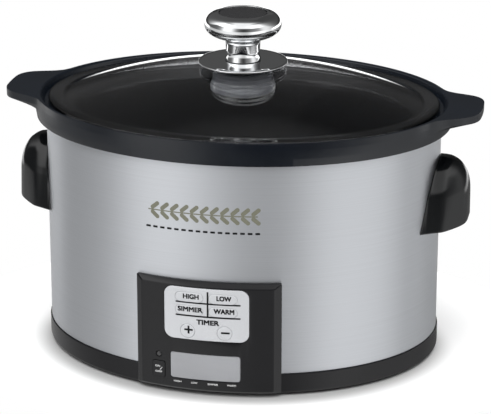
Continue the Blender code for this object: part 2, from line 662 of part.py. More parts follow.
outer_wrap()
base_ring()
bottom_cover()
feet_and_cover_screws()
top_trim()
liner()
heating()
boards()
handles()
panel_bezel()
panel_faces()
cord_gland()
crock()
lid_glass()
knob()
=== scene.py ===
"""The looks of an oval slow cooker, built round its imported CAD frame, in metres, +Z up."""

import json
import math

import bmesh
import bpy
from mathutils import Matrix, Vector


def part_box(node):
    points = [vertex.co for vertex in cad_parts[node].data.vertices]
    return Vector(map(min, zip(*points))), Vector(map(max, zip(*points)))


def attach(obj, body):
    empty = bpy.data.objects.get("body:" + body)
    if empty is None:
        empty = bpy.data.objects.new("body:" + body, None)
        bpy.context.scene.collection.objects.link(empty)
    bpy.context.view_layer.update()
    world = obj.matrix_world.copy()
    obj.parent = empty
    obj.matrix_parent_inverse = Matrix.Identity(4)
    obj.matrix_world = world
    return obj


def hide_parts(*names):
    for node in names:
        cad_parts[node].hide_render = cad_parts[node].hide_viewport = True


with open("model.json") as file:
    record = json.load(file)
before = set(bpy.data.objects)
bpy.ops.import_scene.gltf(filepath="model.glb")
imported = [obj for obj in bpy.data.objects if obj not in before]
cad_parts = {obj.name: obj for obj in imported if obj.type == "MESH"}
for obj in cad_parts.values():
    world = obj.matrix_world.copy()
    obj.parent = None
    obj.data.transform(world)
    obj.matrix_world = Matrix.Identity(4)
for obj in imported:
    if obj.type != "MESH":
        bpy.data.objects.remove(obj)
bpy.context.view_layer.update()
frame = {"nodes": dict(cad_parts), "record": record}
NODES = frame["nodes"]

# --- Driving sizes, read from the frame ---
WRAP_A, WRAP_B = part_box("outer_wrap")[1].xy          # half axes of the steel wrap's outer face
WRAP_Z0, WRAP_Z1 = (corner.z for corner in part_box("outer_wrap"))
BASE_Z0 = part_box("base_ring")[0].z
TRIM_Z1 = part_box("top_trim")[1].z
LINER_Z0, LINER_Z1 = (corner.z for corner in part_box("liner"))
CROCK_Z0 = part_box("crock")[0].z
LUG_TIP, LUG_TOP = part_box("crock")[1].x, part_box("crock")[1].z
RIM_A, RIM_B = WRAP_A + 0.0075, WRAP_B + 0.0032      # half axes of the crock rim's outer face
RIM_Z, CREST_Z = WRAP_Z1 + 0.0007, LUG_TOP - 0.0010  # the rim's foot and its crest
RIM_LEAN = 0.16                                      # how fast the rim narrows across Y as it rises
LEDGE_Z = CREST_Z - 0.0060                           # where the lid rests
FLANGE_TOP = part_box("knob_flange")[1].z
KNOB_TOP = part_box("knob")[1].z
GLASS_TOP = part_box("lid_glass")[1].z
PANEL_Z0, PANEL_Z1 = (corner.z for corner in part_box("panel_bezel"))
PANEL_X, PANEL_HALF, FACE_OUT = -0.0030, 0.0535, 0.0050  # middle, half width, face out from the wrap
GRIP_Z0, GRIP_Z1 = (corner.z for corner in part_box("right_handle"))
OVAL_STEPS, TURN_STEPS = 192, 96                     # points round an oval and round a turned piece
PRINT = 0.00012                                      # how deep a printed mark is
HAIR = 0.00001                                       # what keeps two faces from coinciding


# --- Meshes ---
def wrap_oval(offset, z, radius=0.0):
    """A profile corner this far outside the wrap's face: half axes, height, reach, rise, rounding."""
    return (WRAP_A + offset, WRAP_B + offset, z, 0.0, 0.0, radius)


def rim_oval(offset, z, radius=0.0, reach=0.0, rise=0.0):
    """The same for the crock's rim. Reach and rise say how far the corner follows the lugs."""
    return (RIM_A + offset, RIM_B + offset - RIM_LEAN * (z - RIM_Z), z, reach, rise, radius)


def softened(corners, loop=False, steps=5):
    """Rounds a path's corners. The last value of each corner is how far its rounding reaches."""
    path = []
    count = len(corners)
    for i, corner in enumerate(corners):
        here, radius = corner[:-1], corner[-1]
        if radius <= 0 or (not loop and i in (0, count - 1)):
            path.append(here)
            continue
        ends = []
        for other in (corners[i - 1][:-1], corners[(i + 1) % count][:-1]):
            length = math.dist(here, other)
            share = min(radius / length, 0.49)
            ends.append([h + (o - h) * share for h, o in zip(here, other)])
        for step in range(steps + 1):
            t = step / steps
            weights = ((1 - t) ** 2, 2 * t * (1 - t), t * t)
            path.append(tuple(
                sum(w * p for w, p in zip(weights, triple)) for triple in zip(ends[0], here, ends[1])
            ))
    return path


def piece(name, bm, finish, body, node=None, slot=None, sharp=40):
    """Turns a bmesh into a finished piece that rides on a body and may stand for a CAD node."""
    mesh = bpy.data.meshes.new(name)
    bmesh.ops.recalc_face_normals(bm, faces=bm.faces)
    if bm.calc_volume(signed=True) < 0:
        bmesh.ops.reverse_faces(bm, faces=bm.faces)
    bm.to_mesh(mesh)
    bm.free()
    mesh.shade_smooth()
    mesh.set_sharp_from_angle(angle=math.radians(sharp))
    mesh.materials.append(finish)
    obj = bpy.data.objects.new(name, mesh)
    bpy.context.scene.collection.objects.link(obj)
    if body:
        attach(obj, body)
    if node:
        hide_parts(node)
    return obj


def skin(rings, loop=False):
    """A bmesh skinned over rings of equal counts: a loop joins last to first, else both ends are capped."""
    bm = bmesh.new()
    rows = [[bm.verts.new(point) for point in ring] for ring in rings]
    pairs = list(zip(rows, rows[1:]))
    if loop:
        pairs.append((rows[-1], rows[0]))
    else:
        for row in (rows[0], rows[-1]):
            middle = bm.verts.new(sum((v.co for v in row), Vector()) / len(row))
            for first, second in zip(row, row[1:] + row[:1]):
                bm.faces.new((first, second, middle))
    for lower, upper in pairs:
        for i in range(len(lower)):
            j = (i + 1) % len(lower)
            bm.faces.new((lower[i], lower[j], upper[j], upper[i]))
    return bm


def lug_reach(y):
    """How far the lugs stand out beyond the rim's oval at this distance from the long axis."""
    outline = (
        (0.0000, 0.0240), (0.0065, 0.0241), (0.0130, 0.0244), (0.0185, 0.0241), (0.0230, 0.0228),
        (0.0262, 0.0208), (0.0288, 0.0180), (0.0316, 0.0130), (0.0348, 0.0068), (0.0385, 0.0022),
        (0.0430, 0.0004), (0.0480, 0.0),
    )
    y = abs(y)
    for i in range(len(outline) - 1):
        (y0, reach0), (y1, reach1) = outline[i], outline[i + 1]
        if y <= y1:
            before, after = outline[max(i - 1, 0)], outline[min(i + 2, len(outline) - 1)]
            slope0 = (reach1 - before[1]) / max(y1 - before[0], 1e-6) if i else 0.0
            slope1 = (after[1] - reach0) / (after[0] - y0)
            width, t = y1 - y0, (y - y0) / (y1 - y0)
            ease = t * t * (3 - 2 * t)
            inward, outward = t * (1 - t) ** 2 * width * slope0, t * t * (1 - t) * width * slope1
            return max(reach0 * (1 - ease) + reach1 * ease + inward - outward, 0.0)
    return 0.0


def rim_turns(steps):
    """Turns round the rim that lie evenly along its outline, lugs included."""
    samples = 6000
    fine = [2 * math.pi * i / samples for i in range(samples + 1)]
    outline = []
    for turn in fine:
        x, y = RIM_A * math.cos(turn), RIM_B * math.sin(turn)
        outline.append((x + math.copysign(lug_reach(y), x), y))
    lengths = [0.0]
    for first, second in zip(outline, outline[1:]):
        lengths.append(lengths[-1] + math.dist(first, second))
    turns, i = [], 0
    for step in range(steps):
        wanted = lengths[-1] * step / steps
        while lengths[i + 1] < wanted:
            i += 1
        turns.append(fine[i])
    return turns


def oval_piece(name, corners, finish, loop=True, turns=None, **kind):
    """A profile of wrap_oval and rim_oval corners, carried round and out along the lugs."""
    full = LUG_TIP - RIM_A
    turns = turns or [2 * math.pi * i / OVAL_STEPS for i in range(OVAL_STEPS)]
    rings = []
    for a, b, z, reach, rise in softened(corners, loop):
        ring = []
        for turn in turns:
            x, y = a * math.cos(turn), b * math.sin(turn)
            lug = lug_reach(y)
            ring.append((x + math.copysign(reach * lug, x), y, z + rise * lug / full))
        rings.append(ring)
    return piece(name, skin(rings, loop), finish, **kind)


def turned_piece(name, corners, finish, loop=False, move=None, steps=TURN_STEPS, **kind):
    """A profile of (radius, height, rounding) turned about Z, then moved by a matrix."""
    narrowest = 0.00002   # an end on the axis stays a tiny ring
    rings = []
    for radius, z in softened(corners, loop):
        radius = max(radius, narrowest)
        turns = (2 * math.pi * i / steps for i in range(steps))
        rings.append([(radius * math.cos(turn), radius * math.sin(turn), z) for turn in turns])
    bm = skin(rings, loop)
    if move:
        bmesh.ops.transform(bm, matrix=move, verts=bm.verts)
    return piece(name, bm, finish, **kind)


# --- Flat pieces that are drawn in X and Z and then bent round the wrap ---
def wrap_normal(x, y):
    """The way straight out from the wrap's face at a point of it."""
    return Vector((x / WRAP_A**2, y / WRAP_B**2, 0)).normalized()


def on_wrap(x, z, out):
    """The point this far out from the wrap's front face at x."""
    y = -WRAP_B * math.sqrt(1 - (x / WRAP_A) ** 2)
    return Vector((x, y, z)) + wrap_normal(x, y) * out


def rounded_rectangle(x, z, half_width, half_height, radius, depth):
    """A flat ring at this depth, with the same count of points in each corner's arc."""
    corner_points = 9
    ring = []
    radius = min(radius, half_width, half_height)
    for quarter in range(4):
        sign_x = 1 if quarter in (0, 3) else -1
        sign_z = 1 if quarter in (0, 1) else -1
        for step in range(corner_points):
            angle = math.pi / 2 * (quarter + step / (corner_points - 1))
            ring.append((
                x + sign_x * (half_width - radius) + radius * math.cos(angle),
                -depth,
                z + sign_z * (half_height - radius) + radius * math.sin(angle),
            ))
    return ring


def stacked(rings):
    """A bmesh through rings of equal counts, closed by one flat face at each end."""
    bm = bmesh.new()
    rows = [[bm.verts.new(point) for point in ring] for ring in rings]
    for lower, upper in zip(rows, rows[1:]):
        for i in range(len(lower)):
            j = (i + 1) % len(lower)
            bm.faces.new((lower[i], lower[j], upper[j], upper[i]))
    bm.faces.new(rows[0])
    bm.faces.new(rows[-1])
    bmesh.ops.recalc_face_normals(bm, faces=bm.faces)
    return bm


def flat_stack(shape, layers):
    """Rounded rectangles stacked outwards. A layer is (depth, how much the outline grows)."""
    x, z, half_width, half_height, radius = shape
    smallest = 0.0002
    return stacked([
        rounded_rectangle(x, z, half_width + grow, half_height + grow, max(radius + grow, smallest), depth)
        for depth, grow in layers
    ])


def bend(bm, step=0.0025):
    """Cuts a flat bmesh into strips this wide and wraps it onto the front of the steel's oval."""
    bmesh.ops.triangulate(bm, faces=[f for f in bm.faces if len(f.verts) > 4])
    low = min(v.co.x for v in bm.verts)
    high = max(v.co.x for v in bm.verts)
    for i in range(math.ceil(low / step), math.floor(high / step) + 1):
        everything = list(bm.verts) + list(bm.edges) + list(bm.faces)
        bmesh.ops.bisect_plane(
            bm, geom=everything, dist=1e-6, plane_co=(i * step, 0, 0), plane_no=(1, 0, 0)
        )
    for vert in bm.verts:
        vert.co = on_wrap(vert.co.x, vert.co.z, -vert.co.y)
    return bm


def rounded_layers(back, front, radius, steps=4):
    """Layers from back to front whose front edge is rounded."""
    layers = [(back, 0.0)]
    for i in range(steps + 1):
        turn = math.pi / 2 * i / steps
        layers.append((front - radius * (1 - math.sin(turn)), -radius * (1 - math.cos(turn))))
    return layers


def label(name, text, x, z, width, height, out, finish, body, slot, weight):
    """A line of print, fitted into a width and a height on the wrap's front.

    It is struck four times, its weight off to each corner, which thickens its strokes.
    """
    curve = bpy.data.curves.new(name, "FONT")
    curve.body = text
    curve.align_x = curve.align_y = "CENTER"
    curve.extrude = 0.01
    curve.resolution_u = 4
    temporary = bpy.data.objects.new(name, curve)
    bpy.context.scene.collection.objects.link(temporary)
    bpy.context.view_layer.update()
    graph = bpy.context.evaluated_depsgraph_get()
    bm = bmesh.new()
    bm.from_mesh(temporary.evaluated_get(graph).to_mesh())
    bpy.data.objects.remove(temporary)
    bpy.data.curves.remove(curve)
    bmesh.ops.remove_doubles(bm, verts=bm.verts, dist=1e-5)
    across = [v.co.x for v in bm.verts]
    up = [v.co.y for v in bm.verts]
    wide, tall = max(across) - min(across), max(up) - min(up)
    middle_x, middle_y = (max(across) + min(across)) / 2, (max(up) + min(up)) / 2
    letters, strokes = list(bm.verts), list(bm.edges) + list(bm.faces)
    flat = {vert: vert.co.copy() for vert in letters}
    for count, (right, above) in enumerate(((-1, -1), (-1, 1), (1, -1), (1, 1))):
        struck = {vert: vert for vert in letters}
        if count:
            struck = bmesh.ops.duplicate(bm, geom=letters + strokes)["vert_map"]
        for source, co in flat.items():
            flat_x = x + (co.x - middle_x) * (width - 2 * weight) / wide + right * weight
            flat_z = z + (co.y - middle_y) * (height - 2 * weight) / tall + above * weight
            front = out + count * HAIR
            struck[source].co = on_wrap(flat_x, flat_z, front if co.z > 0 else front - PRINT)
    return piece(name, bm, finish, body, slot=slot, sharp=30)


def mark(name, x, z, half_width, half_height, out, finish, body, slot, radius=0.0001, tilt=0.0):
    """A printed bar."""
    bm = flat_stack((0, 0, half_width, half_height, radius), [(out - PRINT, 0), (out, 0)])
    turn = Matrix.Translation((x, 0, z)) @ Matrix.Rotation(tilt, 4, "Y")
    bmesh.ops.transform(bm, matrix=turn, verts=bm.verts)
    return piece(name, bend(bm), finish, body, slot=slot, sharp=30)


# --- Materials ---
def map_range(tree, source, low, high, out_low=0.0, out_high=1.0):
    """A node that maps its source from one range to another, ready to give its Result."""
    node = tree.nodes.new("ShaderNodeMapRange")
    for socket, value in zip(("From Min", "From Max", "To Min", "To Max"), (low, high, out_low, out_high)):
        node.inputs[socket].default_value = value
    tree.links.new(source, node.inputs["Value"])
    return node


def finish_material(
    name, colour, roughness, metallic=0.0, mottle=0.06, uneven=0.05, grain=(60, 60, 60),
    bump=0.0, bump_grain=None, **sockets
):
    """A Principled finish whose colour, gloss and surface vary with noise in the object's own space.

    mottle is the share by which the colour varies, uneven the amount by which the roughness varies, bump
    the depth of the relief in metres, and grain and bump_grain are how fine the two noises are.
    """
    faint, strong = 0.3, 0.7   # the stretch of the noise that is used
    made = bpy.data.materials.new(name)
    made.use_nodes = True
    tree = made.node_tree
    shader = tree.nodes["Principled BSDF"]
    shader.inputs["Metallic"].default_value = metallic
    for socket, value in sockets.items():
        shader.inputs[socket.replace("_", " ")].default_value = value
    where = tree.nodes.new("ShaderNodeTexCoord").outputs["Object"]

    def noise(scale, detail):
        stretch = tree.nodes.new("ShaderNodeMapping")
        stretch.inputs["Scale"].default_value = scale
        tree.links.new(where, stretch.inputs["Vector"])
        made_noise = tree.nodes.new("ShaderNodeTexNoise")
        made_noise.inputs["Scale"].default_value = 1.0
        made_noise.inputs["Detail"].default_value = detail
        tree.links.new(stretch.outputs["Vector"], made_noise.inputs["Vector"])
        return made_noise.outputs["Fac"]

    broad = noise(grain, 4.0)
    ramp = tree.nodes.new("ShaderNodeValToRGB")
    ramp.color_ramp.elements[0].position = faint
    ramp.color_ramp.elements[1].position = strong
    ramp.color_ramp.elements[0].color = (*(c * (1 - mottle) for c in colour), 1)
    ramp.color_ramp.elements[1].color = (*(min(1.0, c * (1 + mottle)) for c in colour), 1)
    tree.links.new(broad, ramp.inputs["Fac"])
    tree.links.new(ramp.outputs["Color"], shader.inputs["Base Color"])
    gloss = map_range(tree, broad, faint, strong, max(roughness - uneven, 0.0), roughness + uneven)
    tree.links.new(gloss.outputs["Result"], shader.inputs["Roughness"])
    if bump:
        relief = tree.nodes.new("ShaderNodeBump")
        relief.inputs["Strength"].default_value = 1.0
        relief.inputs["Distance"].default_value = bump
        tree.links.new(noise(bump_grain or grain, 3.0), relief.inputs["Height"])
        tree.links.new(relief.outputs["Normal"], shader.inputs["Normal"])
    return made


def brushed_steel():
    """Stainless sheet, brushed round the body: streaks that are long round it and fine up it."""
    steel = finish_material(
        "brushed_steel", (0.595, 0.612, 0.640), 0.46, 1.0, mottle=0.05, uneven=0.05,
        grain=(9, 9, 2600), bump=0.000012, bump_grain=(14, 14, 3800),
        Anisotropic=0.85, Anisotropic_Rotation=0.25,
    )
    tree = steel.node_tree
    tangent = tree.nodes.new("ShaderNodeTangent")
    tangent.direction_type = "RADIAL"
    tangent.axis = "Z"
    tree.links.new(tangent.outputs["Tangent"], tree.nodes["Principled BSDF"].inputs["Tangent"])
    return steel


STEEL = brushed_steel()
BASE_BLACK = finish_material(
    "moulded_black", (0.003, 0.003, 0.004), 0.13, uneven=0.04, bump=0.00001, bump_grain=(1900, 1900, 1900),
    Specular_IOR_Level=0.30,
)
GRIP_BLACK = finish_material(
    "gloss_black", (0.003, 0.0035, 0.004), 0.14, mottle=0.08, uneven=0.03,
    bump=0.00002, bump_grain=(260, 260, 260), Specular_IOR_Level=0.36, Coat_Weight=0.08, Coat_Roughness=0.05,
)
PANEL_BLACK = finish_material(
    "panel_black", (0.003, 0.003, 0.004), 0.16, mottle=0.08, bump=0.000012, bump_grain=(2300, 2300, 2300),
    Specular_IOR_Level=0.36,
)
GLAZE = finish_material(
    "black_glaze", (0.0040, 0.0056, 0.0086), 0.19, mottle=0.12, uneven=0.04, grain=(45, 45, 45),
    bump=0.00005, bump_grain=(170, 170, 170), Specular_IOR_Level=0.36, Coat_Weight=0.06, Coat_Roughness=0.10,
)
GLASS = finish_material(
    "clear_glass", (0.955, 0.96, 0.972), 0.012, mottle=0.01, uneven=0.008, grain=(30, 30, 30),
    Transmission_Weight=1.0, IOR=1.47,
)
CHROME = finish_material(
    "chrome", (0.84, 0.85, 0.86), 0.035, 1.0, mottle=0.02, uneven=0.01, grain=(90, 90, 90)
)
INLAY = finish_material(
    "knob_inlay", (0.016, 0.016, 0.017), 0.24, mottle=0.10, grain=(400, 400, 400), Coat_Weight=0.3
)
SILICONE = finish_material(
    "grey_silicone", (0.78, 0.80, 0.85), 0.12, mottle=0.05, grain=(120, 120, 120),
    Transmission_Weight=0.5, IOR=1.38,
)
SILVER = finish_material(
    "silver_print", (0.56, 0.57, 0.59), 0.40, 0.25, mottle=0.04, grain=(1500, 1500, 1500),
    bump=0.000015, bump_grain=(2600, 2600, 2600),
)
SCREEN = finish_material(
    "grey_screen", (0.27, 0.275, 0.29), 0.22, mottle=0.05, grain=(20, 20, 60), Coat_Weight=0.6,
    Coat_Roughness=0.05,
)
LAMP = finish_material(
    "lamp_lens", (0.008, 0.008, 0.009), 0.12, mottle=0.2, grain=(900, 900, 900), Coat_Weight=0.8
)
INK = finish_material(
    "black_ink", (0.004, 0.004, 0.005), 0.60, mottle=0.15, grain=(1800, 1800, 1800), Specular_IOR_Level=0.2
)
WHITE_INK = finish_material("white_ink", (0.72, 0.72, 0.72), 0.50, mottle=0.05, grain=(1800, 1800, 1800))
OLIVE = finish_material("olive_print", (0.17, 0.17, 0.125), 0.42, 0.2, mottle=0.06, grain=(900, 900, 900))
RUBBER = finish_material(
    "black_rubber", (0.020, 0.020, 0.020), 0.72, mottle=0.15, bump=0.00004, bump_grain=(900, 900, 900)
)
ZINC = finish_material(
    "plated_steel", (0.52, 0.53, 0.54), 0.36, 1.0, mottle=0.10, uneven=0.10, grain=(70, 70, 70),
    bump=0.00002, bump_grain=(500, 500, 500),
)
MICA = finish_material("mica_sheet", (0.46, 0.40, 0.28), 0.55, mottle=0.25, grain=(180, 180, 500))
TAPE = finish_material("transformer_tape", (0.60, 0.46, 0.08), 0.38, mottle=0.10, grain=(60, 60, 900))
RELAY = finish_material("relay_case", (0.03, 0.08, 0.24), 0.32, mottle=0.10, grain=(400, 400, 400))
WOOL = finish_material(
    "glass_wool", (0.72, 0.70, 0.62), 0.95, mottle=0.18, grain=(700, 700, 300), bump=0.0004,
    bump_grain=(900, 900, 400),
)
BOARD = finish_material("circuit_board", (0.02, 0.13, 0.05), 0.42, mottle=0.35, grain=(240, 240, 240))
WIRE = finish_material("wire_cover", (0.38, 0.03, 0.03), 0.45, mottle=0.10, grain=(300, 300, 300))

SLOT_FINISH = {
    "steel": STEEL, "black_plastic": BASE_BLACK, "handle_plastic": GRIP_BLACK, "panel_plastic": PANEL_BLACK,
    "silver_pad": SILVER, "silver_key": SILVER, "screen": SCREEN, "screen_window": SCREEN, "led": LAMP,
    "rubber": RUBBER, "gasket": RUBBER, "wire": WIRE, "zinc": ZINC, "mica": MICA,
    "transformer_tape": TAPE, "relay_case": RELAY, "wool": WOOL, "board": BOARD, "stoneware": GLAZE,
    "glass": GLASS, "chrome": CHROME, "knob_inlay": INLAY, "silicone": SILICONE,
}
# Each CAD solid wears its slot's finish, which shows on those that nothing replaces.
for part in frame["record"]["subparts"]:
    NODES[part["node"]].data.materials.clear()
    NODES[part["node"]].data.materials.append(SLOT_FINISH[part["material_slot"]])


# --- The base's shell ---
def shell():
    """The steel wrap, the foot ring that it stands on, the rim ring and the heated well."""
    wrap = [
        wrap_oval(0, WRAP_Z0, 0.0002), wrap_oval(0, WRAP_Z1, 0.0003),
        wrap_oval(-0.0008, WRAP_Z1, 0.0002), wrap_oval(-0.0008, WRAP_Z0, 0.0002),
    ]
    oval_piece("steel_wrap", wrap, STEEL, body="base", node="outer_wrap", slot="steel")
    foot, step, lip = BASE_Z0, WRAP_Z0 - 0.0003, WRAP_Z0 + 0.0067
    ring = [
        wrap_oval(-0.0010, foot, 0.0010), wrap_oval(0.0010, foot + 0.0002, 0.0018),
        wrap_oval(0.0010, step, 0.0007), wrap_oval(-0.0012, step, 0.0002),
        wrap_oval(-0.0012, lip, 0.0004), wrap_oval(-0.0032, lip, 0.0004),
        wrap_oval(-0.0032, foot + 0.0055, 0.0006), wrap_oval(-0.0300, foot + 0.0055, 0.0004),
        wrap_oval(-0.0300, foot + 0.0026, 0.0004), wrap_oval(-0.0052, foot + 0.0026, 0.0006),
        wrap_oval(-0.0052, foot, 0.0006),
    ]
    oval_piece("base_moulding", ring, BASE_BLACK, body="base", node="base_ring", slot="black_plastic")
    top, under, skirt, seam = TRIM_Z1, TRIM_Z1 - 0.0015, TRIM_Z1 - 0.0081, WRAP_Z1 + 0.0003
    trim = [
        wrap_oval(-0.0002, seam, 0.0003), wrap_oval(-0.0002, top, 0.0006),
        wrap_oval(-0.0090, top, 0.0004), wrap_oval(-0.0090, under, 0.0003),
        wrap_oval(-0.0032, under, 0.0006), wrap_oval(-0.0032, skirt, 0.0004),
        wrap_oval(-0.0012, skirt, 0.0004), wrap_oval(-0.0012, seam, 0.0001),
    ]
    oval_piece("trim_ring", trim, BASE_BLACK, body="base", node="top_trim", slot="black_plastic")
    z0, z1 = LINER_Z0, LINER_Z1
    pot = [
        wrap_oval(-0.0260, z0, 0), wrap_oval(-0.0100, z0, 0.0120), wrap_oval(-0.0100, z1 - 0.0008, 0.0012),
        wrap_oval(-0.0045, z1 - 0.0008, 0.0003), wrap_oval(-0.0045, z1, 0.0004),
        wrap_oval(-0.0108, z1, 0.0016), wrap_oval(-0.0108, z0 + 0.0008, 0.0118),
        wrap_oval(-0.0260, z0 + 0.0008, 0),
    ]
    oval_piece("heating_liner", pot, ZINC, loop=False, body="base", node="liner", slot="zinc")


def feet():
    """Four rubber pads, each with a hollow below and a stem that holds it in the cover."""
    for row in ("front", "rear"):
        for side in ("left", "right"):
            node = f"foot_{row}_{side}"
            low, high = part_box(node)
            middle = (low + high) / 2
            radius = (high.x - low.x) / 2
            sole = [
                (0, high.z, 0), (0.0022, high.z, 0.0004), (0.0034, 0.0046, 0.0003), (0.0027, 0.0046, 0.0001),
                (0.0027, 0.0026, 0.0004), (radius, 0.0026, 0.0005), (radius, 0, 0.0007),
                (radius * 0.45, 0, 0.0006), (radius * 0.40, 0.0006, 0.0004), (0, 0.0006, 0),
            ]
            move = Matrix.Translation((middle.x, middle.y, 0))
            name = f"pad_{row}_{side}"
            turned_piece(name, sole, RUBBER, move=move, steps=48, body="base", node=node, slot="rubber")


# --- Grips ---
def smooth_rows(rows, steps):
    """Catmull-Rom points through rows of numbers."""
    path = []
    for i in range(len(rows) - 1):
        before, after = rows[max(i - 1, 0)], rows[min(i + 2, len(rows) - 1)]
        for step in range(steps):
            t = step / steps
            point = []
            for p0, p1, p2, p3 in zip(before, rows[i], rows[i + 1], after):
                bend_in, bend_out = (p2 - p0) / 2, (p3 - p1) / 2
                cubic = 2 * p1 - 2 * p2 + bend_in + bend_out
                square = -3 * p1 + 3 * p2 - 2 * bend_in - bend_out
                point.append(((cubic * t + square) * t + bend_in) * t + p1)
            path.append(tuple(point))
    path.append(rows[-1])
    return path


def arch(x, foot, shoulder, foot_z, shoulder_z, top_z):
    """Half a hood's cross section and its mirror: skirt, shoulder and roof, from front lip to rear lip."""
    half = softened([
        (foot - 0.0022, foot_z, 0), (foot, foot_z, 0.0012), (shoulder, shoulder_z, 0.0036),
        (shoulder * 0.60, shoulder_z + (top_z - shoulder_z) * 0.74, 0.0065), (shoulder * 0.22, top_z, 0.0065),
        (0, top_z, 0),
    ])
    points = [(-y, z) for y, z in half] + [(y, z) for y, z in reversed(half[:-1])]
    clear = 0.0004   # how far out from the wrap the section stays
    return [Vector((max(x, WRAP_A * math.sqrt(1 - (y / WRAP_B) ** 2) + clear), y, z)) for y, z in points]


def grip(side, sign):
    """A hood on the wrap with a pocket for the fingers, open below. Each row is a call of arch."""
    z0, z1 = GRIP_Z0, GRIP_Z1
    hood = [
        (0.1408, 0.0405, 0.0302, z0, z0 + 0.0275, z1),
        (0.1455, 0.0380, 0.0290, z0, z0 + 0.0275, z1 + 0.0003),
        (0.1504, 0.0352, 0.0272, z0, z0 + 0.0275, z1 + 0.0005),
        (0.1560, 0.0320, 0.0252, z0, z0 + 0.0278, z1 + 0.0003),
        (0.1600, 0.0284, 0.0226, z0 + 0.0003, z0 + 0.0284, z1 - 0.0006),
        (0.1650, 0.0228, 0.0184, z0 + 0.0008, z0 + 0.0296, z1 - 0.0034),
        (0.1688, 0.0182, 0.0147, z0 + 0.0014, z0 + 0.0298, z1 - 0.0082),
        (0.1712, 0.0140, 0.0113, z0 + 0.0021, z0 + 0.0280, z1 - 0.0135),
        (0.1724, 0.0096, 0.0077, z0 + 0.0030, z0 + 0.0250, z1 - 0.0190),
        (0.1727, 0.0060, 0.0047, z0 + 0.0040, z0 + 0.0215, z1 - 0.0235),
    ]
    pocket = [
        (0.1534, 0.0262, 0.0210, z0, z0 + 0.0225, z1 - 0.0170),
        (0.1575, 0.0250, 0.0200, z0, z0 + 0.0222, z1 - 0.0175),
        (0.1612, 0.0216, 0.0172, z0 + 0.0003, z0 + 0.0210, z1 - 0.0195),
        (0.1645, 0.0172, 0.0136, z0 + 0.0008, z0 + 0.0192, z1 - 0.0228),
        (0.1670, 0.0130, 0.0102, z0 + 0.0014, z0 + 0.0168, z1 - 0.0265),
        (0.1685, 0.0092, 0.0070, z0 + 0.0021, z0 + 0.0140, z1 - 0.0305),
    ]
    bm = bmesh.new()
    skins = []
    for rows in (hood, pocket):
        grid = []
        for i, row in enumerate(smooth_rows(rows, 6)):
            grid.append([bm.verts.new((sign * (p.x + i * HAIR), p.y, p.z)) for p in arch(*row)])
        for first, second in zip(grid, grid[1:]):
            for i in range(len(first) - 1):
                bm.faces.new((first[i], first[i + 1], second[i + 1], second[i]))
        bm.faces.new(grid[-1])
        skins.append(grid)
    outer, inner = skins
    bm.faces.new(inner[0])
    root = outer[0]
    limit = abs(root[0].co.y)
    foot = []
    for vert in root:
        if abs(vert.co.y) >= limit:
            foot.append(root[0] if vert.co.y < 0 else root[-1])
        else:
            foot.append(bm.verts.new((vert.co.x, vert.co.y, z0)))
    for i in range(len(root) - 1):
        corners = []
        for vert in (root[i], root[i + 1], foot[i + 1], foot[i]):
            if vert not in corners:
                corners.append(vert)
        if len(corners) > 2:
            bm.faces.new(corners)
    back = [vert for i, vert in enumerate(foot) if i == 0 or vert is not foot[i - 1]]
    lip = [row[0] for row in outer] + [row[-1] for row in reversed(outer)] + back[-2:0:-1]
    mouth = [row[0] for row in inner] + [row[-1] for row in reversed(inner)]
    rims = []
    for loop in (lip, mouth):
        for pair in zip(loop, loop[1:] + loop[:1]):
            rims.append(bm.edges.get(pair) or bm.edges.new(pair))
    bmesh.ops.triangle_fill(bm, edges=rims, use_beauty=True)
    piece(f"{side}_grip", bm, GRIP_BLACK, "base", f"{side}_handle", "handle_plastic", sharp=38)


# --- Control panel ---
KEYPAD = (PANEL_X, 0.0640, 0.0307, 0.0202, 0.0065)   # x, z, half width, half height, corner radius
SCREEN_SHAPE = (PANEL_X - 0.0010, 0.0224, 0.0255, 0.0101, 0.0020)
LAMP_SHAPE = (PANEL_X - 0.0353, 0.0292, 0.0021, 0.0021, 0.0021)
KEYS = {   # laid out as KEYPAD is
    "key_high": (PANEL_X - 0.0122, 0.0768, 0.0102, 0.0036, 0.0036),
    "key_low": (PANEL_X + 0.0122, 0.0768, 0.0102, 0.0036, 0.0036),
    "key_simmer": (PANEL_X - 0.0122, 0.0667, 0.0102, 0.0036, 0.0036),
    "key_warm": (PANEL_X + 0.0122, 0.0667, 0.0102, 0.0036, 0.0036),
    "key_plus": (PANEL_X - 0.0134, 0.0506, 0.0053, 0.0053, 0.0053),
    "key_minus": (PANEL_X + 0.0134, 0.0506, 0.0053, 0.0053, 0.0053),
    "key_power": (PANEL_X - 0.0353, 0.0176, 0.0046, 0.0062, 0.0012),
}
GAP, KEY_GAP = 0.0003, 0.00016   # round what sits in the housing, and round a silver key


def solid(name, bm):
    """A plain object for the cutting, gone before the scene is finished."""
    mesh = bpy.data.meshes.new(name)
    bmesh.ops.recalc_face_normals(bm, faces=bm.faces)
    bm.to_mesh(mesh)
    bm.free()
    obj = bpy.data.objects.new(name, mesh)
    bpy.context.scene.collection.objects.link(obj)
    return obj


def cut_out(bm, cutters):
    """The bmesh less its cutters, while everything is still flat."""
    body = solid("uncut", bm)
    tools = [solid(f"cutter_{i}", cutter) for i, cutter in enumerate(cutters)]
    for tool in tools:
        body.modifiers.new(tool.name, "BOOLEAN").object = tool
    rounding = body.modifiers.new("rounding", "BEVEL")
    rounding.width = 0.00025
    rounding.segments = 2
    rounding.angle_limit = math.radians(55)
    bpy.context.view_layer.update()
    graph = bpy.context.evaluated_depsgraph_get()
    made = bmesh.new()
    made.from_mesh(body.evaluated_get(graph).to_mesh())
    for spent in [body, *tools]:
        bpy.data.objects.remove(spent)
    return made


